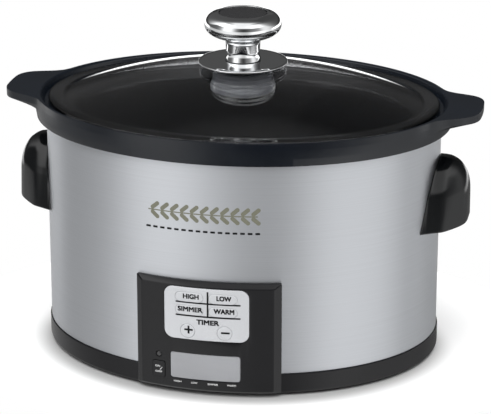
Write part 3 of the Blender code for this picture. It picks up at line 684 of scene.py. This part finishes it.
def flat_box(half_width, back, front, low, high):
    """A block on the panel's middle line, between two depths and two heights."""
    shape = (PANEL_X, (low + high) / 2, half_width, (high - low) / 2, 0.0005)
    return flat_stack(shape, [(back, 0), (front, 0)])


def bezel():
    """The panel's moulding: a bevelled frame, hollow behind, with holes for all that shows in it."""
    rings = []
    for depth, sink in (
        (0.0004, 0.0), (0.0016, 0.0), (0.0020, 0.0001), (0.0023, 0.0004), (0.0043, 0.0042), (0.0047, 0.0048),
        (0.0049, 0.0053), (FACE_OUT, 0.0060),
    ):
        low, high = PANEL_Z0 + 0.45 * sink, PANEL_Z1 - 0.62 * sink
        half_width, half_height = PANEL_HALF - sink, (high - low) / 2
        rings.append(rounded_rectangle(PANEL_X, (low + high) / 2, half_width, half_height, 0.0012, depth))
    through = [(0.0010, GAP), (0.0090, GAP)]
    cutters = [
        flat_box(0.0448, -0.0020, FACE_OUT - 0.0022, 0.0070, 0.0835),
        flat_box(0.0600, -0.0020, 0.0015, 0.0, WRAP_Z0 + 0.0003),
        flat_stack(KEYPAD, [(FACE_OUT - 0.0014, GAP), (0.009, GAP)]),
        flat_stack(KEYPAD, [(0.001, -0.0010), (0.009, -0.0010)]),
        flat_stack(SCREEN_SHAPE, through), flat_stack(LAMP_SHAPE, through),
        flat_stack(KEYS["key_power"], through),
    ]
    made = bend(cut_out(stacked(rings), cutters))
    piece("panel_housing", made, PANEL_BLACK, "base", "panel_bezel", "panel_plastic", sharp=24)


def panel_faces():
    """The key plate, its keys, the power key, the display's window and the lamp."""
    front = FACE_OUT + 0.0006   # a key's face
    holes = [
        flat_stack(shape, [(0.001, KEY_GAP), (0.009, KEY_GAP)])
        for key, shape in KEYS.items() if key != "key_power"
    ]
    plate = flat_stack(KEYPAD, rounded_layers(FACE_OUT - 0.0011, FACE_OUT + 0.0003, 0.0004))
    piece("keypad_sheet", bend(cut_out(plate, holes)), SILVER, "base", "keypad_plate", "silver_pad", sharp=32)
    for key, shape in KEYS.items():
        if key == "key_power":
            back, finish, slot = 0.0020, PANEL_BLACK, "panel_plastic"
        else:
            back, finish, slot = 0.0014, SILVER, "silver_key"
        flange = 0.0024
        layers = [(back, 0.0008), (flange, 0.0008), *rounded_layers(flange, front, 0.0004)]
        name = key.replace("key_", "button_")
        piece(name, bend(flat_stack(shape, layers)), finish, key, key, slot, sharp=50)
    window = flat_stack(SCREEN_SHAPE, rounded_layers(0.0030, FACE_OUT - 0.0002, 0.0003))
    piece("screen_glass", bend(window), SCREEN, "base", "lcd_window", "screen_window", sharp=50)
    lens = flat_stack(LAMP_SHAPE, rounded_layers(0.0024, FACE_OUT + 0.0003, 0.0012, 6))
    piece("lamp_lens_cap", bend(lens, 0.001), LAMP, "base", "led_lens", "led", sharp=60)


def printing():
    """The keys' names, the lines that part them and the small white words on the black plastic."""
    key_face, plate_face, panel_face = FACE_OUT + 0.00064, FACE_OUT + 0.0004, FACE_OUT + 0.0001
    middle = PANEL_X + 0.0013
    tall, bold = 0.0039, 0.00021   # the height and the weight of the black words
    small, tiny, fine = 0.0015, 0.0014, 0.00002   # two heights and the weight of the white words
    words = {   # word, width, and shift and lift from the key's middle
        "key_high": ("HIGH", 0.0116, 0.0014, 0.0008), "key_low": ("LOW", 0.0106, 0.0008, 0.0008),
        "key_simmer": ("SIMMER", 0.0182, 0.0008, 0.0009), "key_warm": ("WARM", 0.0148, 0.0008, 0.0009),
    }
    for key, (word, width, shift, lift) in words.items():
        x, z = KEYS[key][:2]
        name = f"print_{word.lower()}"
        label(name, word, x + shift, z + lift, width, tall, key_face, INK, key, "silver_key", bold)
    label("print_timer", "TIMER", middle, 0.0582, 0.0164, tall, plate_face, INK, "base", "silver_pad", bold)
    rule, upright = 0.00058, 0.00060   # half the thickness of a line
    for name, x, z, half_width, half_height in (
        ("rule_upper", middle, 0.0728, 0.0234, rule), ("rule_lower", middle, 0.0625, 0.0234, rule),
        ("rule_upright_top", middle, 0.0776, upright, 0.0044),
        ("rule_upright_low", middle, 0.0676, upright, 0.0047),
    ):
        mark(name, x, z, half_width, half_height, plate_face, INK, "base", "silver_pad")
    arm, thin = 0.0031, 0.00072   # half the length and half the thickness of a sign's stroke
    (plus_x, plus_z), (minus_x, minus_z) = KEYS["key_plus"][:2], KEYS["key_minus"][:2]
    for name, x, z, half_width, half_height, face, key in (
        ("plus_across", plus_x + 0.0008, plus_z + 0.0010, arm, thin, key_face, "key_plus"),
        ("plus_upright", plus_x + 0.0008, plus_z + 0.0010, thin, arm, key_face + HAIR, "key_plus"),
        ("minus_across", minus_x + 0.0006, minus_z + 0.0004, arm, thin, key_face, "key_minus"),
    ):
        mark(name, x, z, half_width, half_height, face, INK, key, "silver_key")
    for word, shift, width in (
        ("high", -0.0212, 0.0056), ("low", -0.0088, 0.0044), ("simmer", 0.0048, 0.0076),
        ("warm", 0.0182, 0.0064),
    ):
        label(
            f"legend_{word}", word.upper(), PANEL_X + shift, 0.0096, width, tiny, panel_face,
            WHITE_INK, "base", "panel_plastic", fine,
        )
    x, z = KEYS["key_power"][:2]
    for name, word, word_x, word_z, width in (
        ("power_on", "ON", x - 0.0008, z + 0.0021, 0.0036), ("power_off", "OFF", x, z - 0.0022, 0.0052),
    ):
        label(
            name, word, word_x, word_z, width, small, key_face, WHITE_INK, "key_power", "panel_plastic", fine
        )
    mark(
        "power_slash", x + 0.0018, z + 0.0004, 0.0015, 0.00020, key_face, WHITE_INK, "key_power",
        "panel_plastic", tilt=-0.9,
    )


def ornament():
    """A plain leaf sprig printed on the wrap's front, over a row of short dark bars."""
    middle, face = -0.0070, 0.00010
    stem_z, stem_half, pairs = 0.1392, 0.0405, 11
    leaf_half, leaf_width, lean = 0.0039, 0.00150, 0.72
    leafy = 0.92   # how much of the stem bears leaves
    mark("sprig_stem", middle, stem_z, stem_half, 0.00042, face, OLIVE, "base", "steel")
    for i in range(pairs):
        x = middle + stem_half * (2 * i / (pairs - 1) - 1) * leafy
        for side, up in (("upper", 1), ("lower", -1)):
            mark(
                f"sprig_{side}_{i + 1}", x + 0.0020, stem_z + up * 0.0034, leaf_half, leaf_width,
                face + HAIR, OLIVE, "base", "steel", leaf_width - HAIR, -up * lean,
            )
    bars, bar_z, bar_half = 16, 0.1262, 0.0017
    for i in range(bars):
        x = middle + stem_half * (2 * i / (bars - 1) - 1)
        mark(f"bar_{i + 1}", x, bar_z, bar_half, 0.00075, face, INK, "base", "steel", 0.0004)


# --- Gland ---
def gland():
    """The flanged bushing for the supply cord, through the wrap at the rear."""
    low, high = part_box("cord_gland")
    inner, outer = WRAP_B - 0.0014, WRAP_B + 0.0003   # the wrap's two faces, with a little air
    profile = [
        (0.0038, high.y, 0.0003), (0.0062, high.y, 0.0008), (0.0088, outer + 0.0025, 0.0012),
        (0.0094, outer, 0.0005), (0.0066, outer, 0.0001), (0.0066, inner, 0.0001),
        (0.0086, inner - 0.0002, 0.0004), (0.0086, low.y, 0.0004), (0.0038, low.y, 0.0003),
    ]
    move = Matrix.Translation((0, 0, (low.z + high.z) / 2)) @ Matrix.Rotation(-math.pi / 2, 4, "X")
    turned_piece(
        "gland_bushing", profile, RUBBER, True, move, 64, body="base", node="cord_gland", slot="rubber"
    )


# --- Crock ---
def crock():
    """One shell of glazed stoneware, from the middle of its floor inside, over the rim, to its underside."""
    floor, under, hollow = CROCK_Z0 + 0.0085, CROCK_Z0, CROCK_Z0 + 0.0008
    neck, brow = 0.1740, 0.1812   # where the wall ends and where the rim's underside is
    lug_under, rim_foot = LUG_TOP - 0.0058, RIM_Z - 0.0002
    corners = [
        wrap_oval(-0.0800, floor), wrap_oval(-0.0340, floor, 0.0220), wrap_oval(-0.0225, neck, 0.0100),
        wrap_oval(-0.0215, 0.1805, 0.0030), rim_oval(-0.0145, LEDGE_Z, 0.0025),
        rim_oval(-0.0058, LEDGE_Z, 0.0012), rim_oval(-0.0036, CREST_Z - 0.0008, 0.0006),
        rim_oval(-0.0024, CREST_Z, 0.0006), rim_oval(-0.0014, CREST_Z, 0.0004),
        rim_oval(-0.0002, CREST_Z, 0.0016, 1.0, 0.0010), rim_oval(0, lug_under, 0.0022, 0.985),
        rim_oval(0, lug_under - 0.0052, 0.0040, 0.06), rim_oval(0, rim_foot, 0.0014),
        rim_oval(-0.0027, rim_foot, 0.0006), rim_oval(-0.0027, brow, 0.0006),
        wrap_oval(-0.0140, brow, 0.0020), wrap_oval(-0.0145, neck, 0.0060),
        wrap_oval(-0.0240, under + 0.0010, 0.0180), wrap_oval(-0.0450, under, 0.0010),
        wrap_oval(-0.0480, hollow, 0.0010), wrap_oval(-0.0800, hollow),
    ]
    oval_piece(
        "stoneware_crock", corners, GLAZE, loop=False, turns=rim_turns(560),
        body="crock", node="crock", slot="stoneware",
    )


# --- Lid ---
def lid():
    """The glass: a dome with a hole for the knob's screw, and a flat brim that rests on the ledge."""
    dome_a, dome_b, hole = 0.1370, 0.1010, 0.0046
    edge_z = LEDGE_Z + 0.0046
    rise = GLASS_TOP + 0.0001 - edge_z
    thickness = edge_z - LEDGE_Z - 0.0005

    def dome(share, lift):
        """A point of the dome this share of the way out to its brim."""
        return (dome_a * share, dome_b * share, edge_z + rise * (1 - share**2) + lift, 0.0, 0.0)

    rings, first = 22, 0.06
    shares = [first + (1 - first) * i / rings for i in range(rings)]
    upper = [(hole, hole, GLASS_TOP - 0.0001, 0, 0, 0)] + [(*dome(share, 0), 0) for share in shares]
    brim = [
        (*dome(1, 0), 0.0030), rim_oval(-0.0088, edge_z - 0.0002, 0.0018),
        rim_oval(-0.0088, LEDGE_Z + 0.0004, 0.0014), (*dome(1, -thickness), 0.0030),
    ]
    lower = [(*dome(share, -thickness), 0) for share in reversed(shares)]
    lower.append((hole, hole, GLASS_TOP - thickness - 0.0001, 0, 0, 0))
    oval_piece("glass_dome", upper + brim + lower, GLASS, body="lid", node="lid_glass", slot="glass")


def knob():
    """The chrome head with its dark disc, the chrome flange, and the bushing and seal under the glass."""
    seat, core_z = FLANGE_TOP + 0.0003, 0.2400
    well = KNOB_TOP - 0.0020
    head = [
        (0, well, 0), (0.0183, well, 0.0001), (0.0183, KNOB_TOP - 0.0002, 0.0003),
        (0.0192, KNOB_TOP, 0.0006), (0.0250, KNOB_TOP - 0.0016, 0.0030), (0.0281, KNOB_TOP - 0.0048, 0.0032),
        (0.0290, KNOB_TOP - 0.0084, 0.0028), (0.0285, KNOB_TOP - 0.0120, 0.0026),
        (0.0261, KNOB_TOP - 0.0152, 0.0024), (0.0218, KNOB_TOP - 0.0176, 0.0020),
        (0.0165, KNOB_TOP - 0.0190, 0.0024), (0.0131, KNOB_TOP - 0.0214, 0.0024),
        (0.0126, seat + 0.0040, 0.0030), (0.0136, seat, 0.0002), (0.0026, seat, 0),
        (0.0026, core_z, 0), (0, core_z, 0),
    ]
    turned_piece("knob_body", head, CHROME, body="lid", node="knob", slot="chrome")
    disc_foot = KNOB_TOP - 0.0017
    cap = [
        (0, KNOB_TOP - 0.0003, 0), (0.0172, KNOB_TOP - 0.0005, 0.0004), (0.0179, KNOB_TOP - 0.0010, 0.0003),
        (0.0179, disc_foot, 0.0001), (0, disc_foot, 0),
    ]
    turned_piece("knob_disc", cap, INLAY, body="lid", node="knob_cap", slot="knob_inlay")
    face, under = FLANGE_TOP - 0.0002, FLANGE_TOP - 0.0022
    flange = [
        (0.0029, face, 0.0002), (0.0170, FLANGE_TOP - 0.0001, 0.0020), (0.0312, face, 0.0024),
        (0.0339, FLANGE_TOP - 0.0010, 0.0010), (0.0334, under, 0.0007), (0.0029, under, 0.0002),
    ]
    turned_piece("flange_disc", flange, CHROME, True, body="lid", node="knob_flange", slot="chrome")
    bottom, top = (corner.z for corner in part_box("knob_retainer"))
    web = top - 0.0020
    retainer = [
        (0.0029, top, 0.0002), (0.0208, top, 0.0008), (0.0212, web, 0.0006), (0.0226, web - 0.0006, 0.0006),
        (0.0226, bottom + 0.0072, 0.0006), (0.0236, bottom + 0.0060, 0.0010),
        (0.0236, bottom + 0.0046, 0.0008), (0.0247, bottom + 0.0036, 0.0010),
        (0.0247, bottom + 0.0010, 0.0010), (0.0240, bottom, 0.0010), (0.0208, bottom, 0.0010),
        (0.0196, web, 0.0010), (0.0029, web, 0.0002),
    ]
    turned_piece("bushing_cup", retainer, SILICONE, True, body="lid", node="knob_retainer", slot="silicone")
    low, high = (corner.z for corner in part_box("knob_gasket"))
    gasket = [(0.0046, high, 0.0002), (0.0140, high, 0.0005), (0.0140, low, 0.0005), (0.0046, low, 0.0002)]
    turned_piece("seal_ring", gasket, RUBBER, True, steps=64, body="lid", node="knob_gasket", slot="gasket")


# --- Camera, floor and light ---
ROOM = 2.50   # the brightest tone in the room
FLOOR_WHITE = 0.93


def camera():
    """The view from in front, a little from the right and from above, through a long lens."""
    azimuth, elevation = math.radians(11.09), math.radians(19.46)
    aim, distance = Vector((0, 0, 0.1059)), 1.852
    back = Vector((
        math.sin(azimuth) * math.cos(elevation), -math.cos(azimuth) * math.cos(elevation), math.sin(elevation)
    ))
    right = Vector((math.cos(azimuth), math.sin(azimuth), 0))
    place = Matrix((right, back.cross(right), back)).transposed().to_4x4()
    place.translation = aim + back * distance
    data = bpy.data.cameras.new("camera")
    data.sensor_width = 36
    data.lens = 177.3
    data.shift_x, data.shift_y = 0.0051, -0.0043
    data.clip_start = 0.1
    eye = bpy.data.objects.new("camera", data)
    eye.matrix_world = place
    bpy.context.scene.collection.objects.link(eye)
    bpy.context.scene.camera = eye


def paint_foot_shadow(material):
    """Paints a soft contact shadow into the table's colour round the foot ring, further out in front of it
    than beside it.
    """
    forward = 0.13   # how far the shade is moved to the front, in half depths of the wrap
    inner, outer = 0.92, 1.12   # where it starts to fade and where it ends, in the wrap's half axes
    # the table's colour where the painted shadow is darkest
    shadow_darkest = 0.36
    tree = material.node_tree
    spread = tree.nodes.new("ShaderNodeVectorMath")
    spread.operation = "MULTIPLY_ADD"
    spread.inputs[1].default_value = (1 / WRAP_A, 1 / WRAP_B, 0)
    spread.inputs[2].default_value = (0, forward, 0)
    tree.links.new(tree.nodes.new("ShaderNodeNewGeometry").outputs["Position"], spread.inputs[0])
    reach = tree.nodes.new("ShaderNodeVectorMath")
    reach.operation = "LENGTH"
    tree.links.new(spread.outputs["Vector"], reach.inputs[0])
    # Painted contact shadow: the table's base colour darkens towards the foot ring and reaches full white
    # beyond it.
    fade = map_range(tree, reach.outputs["Value"], inner, outer, shadow_darkest, FLOOR_WHITE)
    fade.interpolation_type = "SMOOTHSTEP"
    tree.links.new(fade.outputs["Result"], tree.nodes["Principled BSDF"].inputs["Base Color"])


def floor():
    """A small oval white table, which isn't mirrored, so that the room's tones reach down the metal."""
    bm = bmesh.new()
    bmesh.ops.create_circle(bm, cap_ends=True, segments=96, radius=1.0)
    bmesh.ops.scale(bm, vec=(WRAP_A + 0.09, WRAP_B + 0.075, 1), verts=bm.verts)
    white = finish_material(
        "pale_floor", (FLOOR_WHITE, FLOOR_WHITE, FLOOR_WHITE), 0.75, mottle=0.01, grain=(3, 3, 3),
        Specular_IOR_Level=0.1,
    )
    # The table's colour carries a painted contact shadow round the foot ring.
    paint_foot_shadow(white)
    disc = piece("floor", bm, white, None)
    disc.visible_glossy = False


def fill_light(name, place, target, size, power):
    """Soft light that shapes the pale and matt pieces and isn't mirrored by the metal."""
    data = bpy.data.lights.new(name, "AREA")
    data.shape = "RECTANGLE"
    data.size, data.size_y = size
    data.energy = power
    lamp = bpy.data.objects.new(name, data)
    place, target = Vector(place), Vector(target)
    lamp.location = place
    lamp.rotation_euler = (place - target).to_track_quat("Z", "Y").to_euler()
    lamp.visible_glossy = False
    lamp.visible_transmission = False
    bpy.context.scene.collection.objects.link(lamp)


def surroundings():
    """A room whose walls are bright and dark by turns, so that metal and gloss have something to show."""
    world = bpy.data.worlds.new("studio")
    world.use_nodes = True
    bpy.context.scene.world = world
    tree = world.node_tree
    tree.nodes.clear()
    link = tree.links.new
    split = tree.nodes.new("ShaderNodeSeparateXYZ")
    link(tree.nodes.new("ShaderNodeTexCoord").outputs["Generated"], split.inputs["Vector"])

    def ranged(*ranges):
        return map_range(tree, *ranges).outputs["Result"]

    def tones(stops):
        """A tone for each direction round the room, from stops of (degrees, tone); 0 is the front."""
        node = tree.nodes.new("ShaderNodeValToRGB")
        node.color_ramp.interpolation = "B_SPLINE"
        points = node.color_ramp.elements
        while len(points) < len(stops):
            points.new(0.5)
        for point, (degrees, level) in zip(points, stops):
            point.position = (degrees + 180) / 360
            point.color = (level / ROOM, level / ROOM, level / ROOM, 1)
        link(around, node.inputs["Fac"])
        return node.outputs["Color"]

    def blend(factor, low, high):
        """From the low tone to the high one as the factor goes from 0 to 1."""
        node = tree.nodes.new("ShaderNodeMix")
        link(factor, node.inputs["Factor"])
        link(low, node.inputs["A"])
        link(high, node.inputs["B"])
        return node.outputs["Result"]

    def combine(operation, *sources):
        """One step of arithmetic on one or two sources."""
        node = tree.nodes.new("ShaderNodeMath")
        node.operation = operation
        for socket, source in zip(node.inputs, sources):
            link(source, socket)
        return node.outputs["Value"]

    sideways, rearwards, height = (split.outputs[axis] for axis in "XYZ")
    azimuth = combine("ARCTAN2", sideways, ranged(rearwards, -1, 1, 1, -1))
    around = ranged(azimuth, -math.pi, math.pi)
    low = tones((
        (-180, 0.06), (-132, 0.52), (-101, 0.62), (-71, 0.65), (-51, 0.97), (-28, 1.10), (-7, 0.94),
        (6, 0.68), (17, 0.64), (29, 0.70), (50, 1.68), (70, 1.24), (96, 1.00), (130, 0.34), (180, 0.06),
    ))
    level = tones((
        (-180, 0.03), (-140, 0.03), (-110, 0.10), (-75, 0.12), (-58, 0.30), (-47, 1.40), (-25, 1.40),
        (-10, 0.25), (6, 0.06), (20, 0.05), (35, 0.20), (60, 0.30), (74, 1.10), (96, 0.90), (120, 0.10),
        (150, 0.03), (180, 0.03),
    ))
    high = tones((
        (-180, 0.08), (-140, 0.08), (-110, 0.20), (-85, 1.90), (-45, 2.20), (-25, 1.10), (0, 1.10),
        (30, 1.10), (45, 2.00), (75, 1.80), (100, 0.20), (140, 0.06), (180, 0.06),
    ))
    # Below the horizon, round it, and above it. The last begins lower at the rear than at the front.
    walls = blend(ranged(height, -0.14, -0.03), low, level)
    skyline = combine("MULTIPLY", ranged(height, -0.24, -0.18), ranged(height, -0.02, -0.08))
    skyline = combine("MULTIPLY", skyline, ranged(rearwards, 0.20, 0.45, 0.0, 1.8 / ROOM))
    walls = combine("ADD", walls, skyline)
    above = ranged(rearwards, -0.10, 0.30, 0.46, 0.12)
    walls = blend(ranged(combine("SUBTRACT", height, above), 0.0, 0.14), walls, high)
    # A ceiling, brighter over the front of the object.
    across = ranged(combine("ABSOLUTE", sideways), 0.22, 0.42, 1.0, 0.0)
    softbox = combine("MULTIPLY", across, ranged(rearwards, 0.08, 0.26, 1.0, 0.0))
    ceiling = ranged(softbox, 0.0, 1.0, 0.24 / ROOM, 1.05 / ROOM)
    tone = blend(ranged(height, 0.84, 0.94), walls, ceiling)
    # Reflections and light take the room's tones, and the camera itself sees plain white.
    room = tree.nodes.new("ShaderNodeBackground")
    room.inputs["Strength"].default_value = ROOM
    link(tone, room.inputs["Color"])
    seen = tree.nodes.new("ShaderNodeBackground")
    seen.inputs["Color"].default_value = (1, 1, 1, 1)
    mix = tree.nodes.new("ShaderNodeMixShader")
    link(tree.nodes.new("ShaderNodeLightPath").outputs["Is Camera Ray"], mix.inputs["Fac"])
    link(room.outputs["Background"], mix.inputs[1])
    link(seen.outputs["Background"], mix.inputs[2])
    link(mix.outputs["Shader"], tree.nodes.new("ShaderNodeOutputWorld").inputs["Surface"])


camera()
floor()
surroundings()
fill_light("overhead", place=(0.0, -0.3, 1.9), target=(0, 0, 0.1), size=(3.0, 2.6), power=71)
bpy.context.scene.view_settings.view_transform = "Standard"

shell()
feet()
for side, sign in (("left", -1), ("right", 1)):
    grip(side, sign)
bezel()
panel_faces()
printing()
ornament()
gland()
crock()
lid()
knob()
